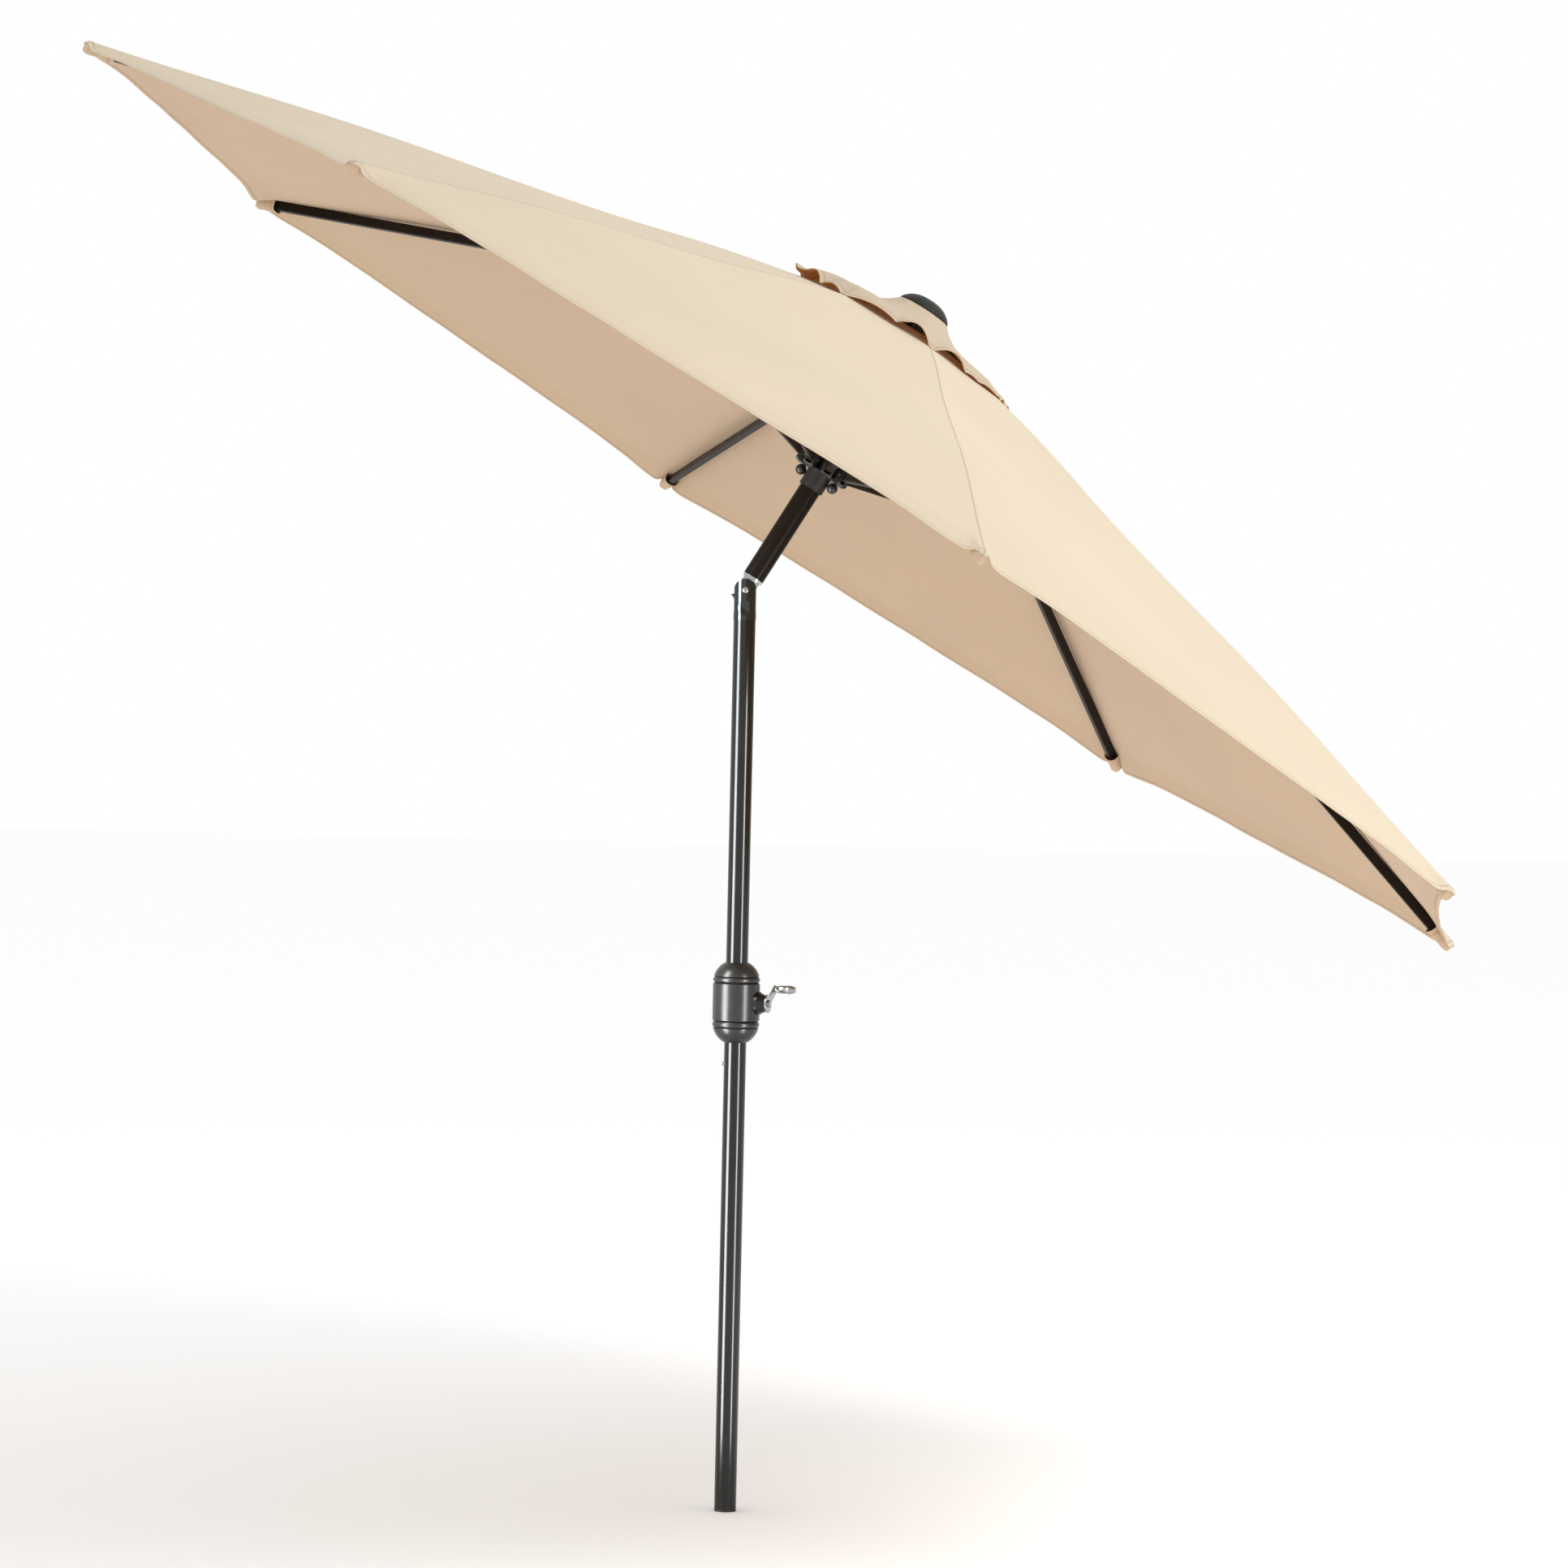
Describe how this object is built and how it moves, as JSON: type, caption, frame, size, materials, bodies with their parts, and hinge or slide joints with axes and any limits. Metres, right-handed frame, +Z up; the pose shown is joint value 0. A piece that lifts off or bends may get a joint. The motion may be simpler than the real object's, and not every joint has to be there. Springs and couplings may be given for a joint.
{
  "type": "patio umbrella",
  "caption": "Round market-style patio umbrella, open and tilted, with a crank, a push-button tilt joint, a vented cloth canopy on folding ribs, and a plain pole foot.",
  "frame": {"origin": "centre of the pole's lower end", "axes": "+Z up along the lower pole, +X the horizontal direction towards which the canopy tilts down, +Y along the tilt pivot"},
  "size_m": [2.4133, 2.8266, 2.4658],
  "materials": {
    "pole_metal": "gloss",
    "inner_steel": "satin",
    "housing_metal": "satin",
    "chrome": "polished",
    "black_plastic": "satin",
    "finial_plastic": "satin",
    "cord": "matte",
    "canopy_cloth": "matte",
    "rib_metal": "gloss"
  },
  "bodies": {
    "stand_pole": {"lower_pole_tube": "pole_metal", "foot_plug": "black_plastic", "pole_spigot": "inner_steel", "snap_spring": "inner_steel", "middle_pole_tube": "pole_metal", "crank_housing_body": "housing_metal", "housing_top_dome": "housing_metal", "housing_bottom_dome": "housing_metal", "housing_rings": "housing_metal", "spool_bushes": "black_plastic", "crank_boss": "black_plastic", "brake_spring": "inner_steel", "knuckle_yoke": "chrome", "pivot_pin": "chrome", "tilt_button_spring": "inner_steel", "lift_cord_lower": "cord"},
    "mast": {"knuckle_tongue": "chrome", "ratchet_sector": "black_plastic", "upper_pole_tube": "pole_metal", "crown_hub": "black_plastic", "crown_rib_pins": "inner_steel", "crown_sheaves": "black_plastic", "lift_cord_upper": "cord", "vent_cap": "canopy_cloth", "finial": "finial_plastic"},
    "runner": {"runner_hub": "black_plastic", "runner_strut_pins": "inner_steel", "cord_stop_balls": "black_plastic", "lift_cord_drop": "cord"},
    "crank": {"crank_shaft": "inner_steel", "cord_spool": "black_plastic", "cord_winding": "cord", "crank_arm": "chrome"},
    "knob": {"crank_knob": "chrome"},
    "tilt_release": {"tilt_button": "chrome"},
    "pole_snap": {"snap_button": "chrome"},
    "rib_1": {"rib_1": "rib_metal", "canopy_panel_1": "canopy_cloth"},
    "strut_1": {"strut_1": "rib_metal"},
    "rib_2": {"rib_2": "rib_metal", "canopy_panel_2": "canopy_cloth"},
    "strut_2": {"strut_2": "rib_metal"},
    "rib_3": {"rib_3": "rib_metal", "canopy_panel_3": "canopy_cloth"},
    "strut_3": {"strut_3": "rib_metal"},
    "rib_4": {"rib_4": "rib_metal", "canopy_panel_4": "canopy_cloth"},
    "strut_4": {"strut_4": "rib_metal"},
    "rib_5": {"rib_5": "rib_metal", "canopy_panel_5": "canopy_cloth"},
    "strut_5": {"strut_5": "rib_metal"},
    "rib_6": {"rib_6": "rib_metal", "canopy_panel_6": "canopy_cloth"},
    "strut_6": {"strut_6": "rib_metal"},
    "rib_7": {"rib_7": "rib_metal", "canopy_panel_7": "canopy_cloth"},
    "strut_7": {"strut_7": "rib_metal"},
    "rib_8": {"rib_8": "rib_metal", "canopy_panel_8": "canopy_cloth"},
    "strut_8": {"strut_8": "rib_metal"}
  },
  "joints": [
    {"name": "tilt", "type": "hinge", "parent": "stand_pole", "child": "mast", "pos_m": [0, 0, 1.588], "axis": [0, 1, 0], "range_deg": [-31.4, 0]},
    {"name": "runner_slide", "type": "slide", "parent": "mast", "child": "runner", "axis": [-0.521, 0, -0.8536], "range_m": [0, 0.17534]},
    {"name": "crank_turn", "type": "hinge", "parent": "stand_pole", "child": "crank", "pos_m": [0, 0, 0.877], "axis": [0.9397, -0.342, 0], "range_deg": [0, 746]},
    {"name": "knob_spin", "type": "hinge", "parent": "crank", "child": "knob", "pos_m": [0.08461, 0.01025, 0.90018], "axis": [0.9397, -0.342, 0], "continuous": true},
    {"name": "tilt_button_press", "type": "slide", "parent": "stand_pole", "child": "tilt_release", "axis": [0, 1, 0], "range_m": [0, 0.004], "stiffness_N_per_m": 1500, "springref_m": -0.003, "deforming": ["tilt_button_spring"]},
    {"name": "snap_button_press", "type": "slide", "parent": "stand_pole", "child": "pole_snap", "axis": [1, 0, 0], "range_m": [0, 0.004], "stiffness_N_per_m": 1500, "springref_m": -0.003, "deforming": ["snap_spring"]},
    {"name": "rib_1_fold", "type": "hinge", "parent": "mast", "child": "rib_1", "pos_m": [0.31559, 0.00744, 2.02567], "axis": [-0.1512, 0.9842, 0.0923], "range_deg": [0, 10.1], "deforming": ["canopy_panel_1"]},
    {"name": "strut_1_fold", "type": "hinge", "parent": "runner", "child": "strut_1", "pos_m": [0.1671, 0.00744, 1.78241], "axis": [0.1512, -0.9842, -0.0923], "range_deg": [0, 10.1]},
    {"name": "rib_2_fold", "type": "hinge", "parent": "mast", "child": "rib_2", "pos_m": [0.30076, 0.03449, 2.03472], "axis": [-0.7009, 0.5707, 0.4278], "range_deg": [0, 10.1], "deforming": ["canopy_panel_2"]},
    {"name": "strut_2_fold", "type": "hinge", "parent": "runner", "child": "strut_2", "pos_m": [0.15228, 0.03449, 1.79146], "axis": [0.7009, -0.5707, -0.4278], "range_deg": [0, 10.1]},
    {"name": "rib_3_fold", "type": "hinge", "parent": "mast", "child": "rib_3", "pos_m": [0.27395, 0.04134, 2.05109], "axis": [-0.8401, -0.1771, 0.5128], "range_deg": [0, 10.1], "deforming": ["canopy_panel_3"]},
    {"name": "strut_3_fold", "type": "hinge", "parent": "runner", "child": "strut_3", "pos_m": [0.12547, 0.04134, 1.80782], "axis": [0.8401, 0.1771, -0.5128], "range_deg": [0, 10.1]},
    {"name": "rib_4_fold", "type": "hinge", "parent": "mast", "child": "rib_4", "pos_m": [0.25087, 0.02397, 2.06518], "axis": [-0.4871, -0.8211, 0.2973], "range_deg": [0, 10.1], "deforming": ["canopy_panel_4"]},
    {"name": "strut_4_fold", "type": "hinge", "parent": "runner", "child": "strut_4", "pos_m": [0.10238, 0.02397, 1.82192], "axis": [0.4871, 0.8211, -0.2973], "range_deg": [0, 10.1]},
    {"name": "rib_5_fold", "type": "hinge", "parent": "mast", "child": "rib_5", "pos_m": [0.24502, -0.00744, 2.06875], "axis": [0.1512, -0.9842, -0.0923], "range_deg": [0, 10.1], "deforming": ["canopy_panel_5"]},
    {"name": "strut_5_fold", "type": "hinge", "parent": "runner", "child": "strut_5", "pos_m": [0.09653, -0.00744, 1.82548], "axis": [-0.1512, 0.9842, 0.0923], "range_deg": [0, 10.1]},
    {"name": "rib_6_fold", "type": "hinge", "parent": "mast", "child": "rib_6", "pos_m": [0.25984, -0.03449, 2.0597], "axis": [0.7009, -0.5707, -0.4278], "range_deg": [0, 10.1], "deforming": ["canopy_panel_6"]},
    {"name": "strut_6_fold", "type": "hinge", "parent": "runner", "child": "strut_6", "pos_m": [0.11136, -0.03449, 1.81644], "axis": [-0.7009, 0.5707, 0.4278], "range_deg": [0, 10.1]},
    {"name": "rib_7_fold", "type": "hinge", "parent": "mast", "child": "rib_7", "pos_m": [0.28665, -0.04134, 2.04334], "axis": [0.8401, 0.1771, -0.5128], "range_deg": [0, 10.1], "deforming": ["canopy_panel_7"]},
    {"name": "strut_7_fold", "type": "hinge", "parent": "runner", "child": "strut_7", "pos_m": [0.13816, -0.04134, 1.80007], "axis": [-0.8401, -0.1771, 0.5128], "range_deg": [0, 10.1]},
    {"name": "rib_8_fold", "type": "hinge", "parent": "mast", "child": "rib_8", "pos_m": [0.30974, -0.02397, 2.02924], "axis": [0.4871, 0.8211, -0.2973], "range_deg": [0, 10.1], "deforming": ["canopy_panel_8"]},
    {"name": "strut_8_fold", "type": "hinge", "parent": "runner", "child": "strut_8", "pos_m": [0.16125, -0.02397, 1.78598], "axis": [-0.4871, -0.8211, 0.2973], "range_deg": [0, 10.1]}
  ],
  "couplings": [
    {"joint": "crank_turn", "follows": "runner_slide", "rad_per_m": 74.074},
    {"joint": "rib_1_fold", "follows": "runner_slide", "rad_per_m": 0.99539},
    {"joint": "strut_1_fold", "follows": "runner_slide", "rad_per_m": 0.99539},
    {"joint": "rib_2_fold", "follows": "runner_slide", "rad_per_m": 0.99539},
    {"joint": "strut_2_fold", "follows": "runner_slide", "rad_per_m": 0.99539},
    {"joint": "rib_3_fold", "follows": "runner_slide", "rad_per_m": 0.99539},
    {"joint": "strut_3_fold", "follows": "runner_slide", "rad_per_m": 0.99539},
    {"joint": "rib_4_fold", "follows": "runner_slide", "rad_per_m": 0.99539},
    {"joint": "strut_4_fold", "follows": "runner_slide", "rad_per_m": 0.99539},
    {"joint": "rib_5_fold", "follows": "runner_slide", "rad_per_m": 0.99539},
    {"joint": "strut_5_fold", "follows": "runner_slide", "rad_per_m": 0.99539},
    {"joint": "rib_6_fold", "follows": "runner_slide", "rad_per_m": 0.99539},
    {"joint": "strut_6_fold", "follows": "runner_slide", "rad_per_m": 0.99539},
    {"joint": "rib_7_fold", "follows": "runner_slide", "rad_per_m": 0.99539},
    {"joint": "strut_7_fold", "follows": "runner_slide", "rad_per_m": 0.99539},
    {"joint": "rib_8_fold", "follows": "runner_slide", "rad_per_m": 0.99539},
    {"joint": "strut_8_fold", "follows": "runner_slide", "rad_per_m": 0.99539}
  ]
}
